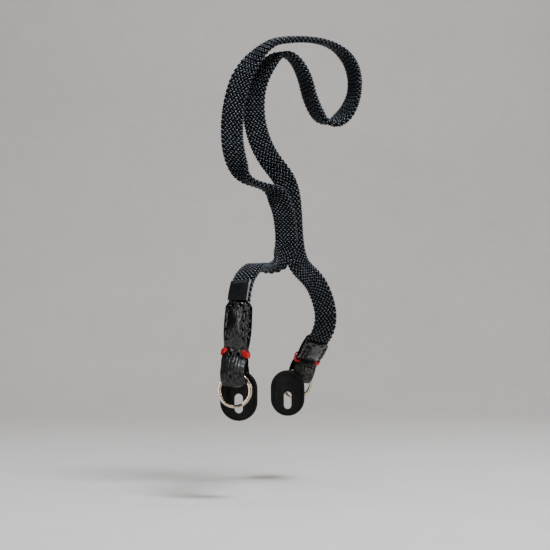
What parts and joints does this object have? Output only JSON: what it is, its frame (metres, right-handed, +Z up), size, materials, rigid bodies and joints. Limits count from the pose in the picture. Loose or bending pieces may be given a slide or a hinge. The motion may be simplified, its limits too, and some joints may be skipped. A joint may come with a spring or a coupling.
{
  "type": "flat rope camera strap",
  "caption": "Flat braided rope strap with a leather tab, red whippings, a split ring and a leather pad at each end, standing in an arch with a hooked loop on top.",
  "frame": {"origin": "where the near split ring rests on its lug, at the inside of the ring's lowest point", "axes": "+Y from the near lug to the far lug, +Z up, +X to the right as seen from the near end"},
  "size_m": [0.0821, 0.1544, 0.234],
  "materials": {
    "black_braid": "braided synthetic yarn with a cool sheen",
    "smooth_patch": "smooth, satin",
    "black_leather": "soft grain, low gloss",
    "red_thread": "waxed thread",
    "steel": "bright"
  },
  "bodies": {
    "strap": {"flat_rope": "black_braid", "label": "smooth_patch", "near_leather": "black_leather", "far_leather": "black_leather", "near_whipping_left": "red_thread", "near_whipping_right": "red_thread", "far_whipping_left": "red_thread", "far_whipping_right": "red_thread", "near_pad": "black_leather", "far_pad": "black_leather"},
    "near_ring": {"near_split_ring": "steel"},
    "far_ring": {"far_split_ring": "steel"}
  },
  "joints": [
    {"name": "near_ring_swing", "type": "hinge", "parent": "strap", "child": "near_ring", "pos_m": [0, 0, 0.01715], "axis": [-1, 0, 0], "range_deg": [0, 75]},
    {"name": "far_ring_swing", "type": "hinge", "parent": "strap", "child": "far_ring", "pos_m": [0.00665, 0.13786, 0.01566], "axis": [0.835, 0.4671, -0.2907], "range_deg": [0, 75]}
  ]
}
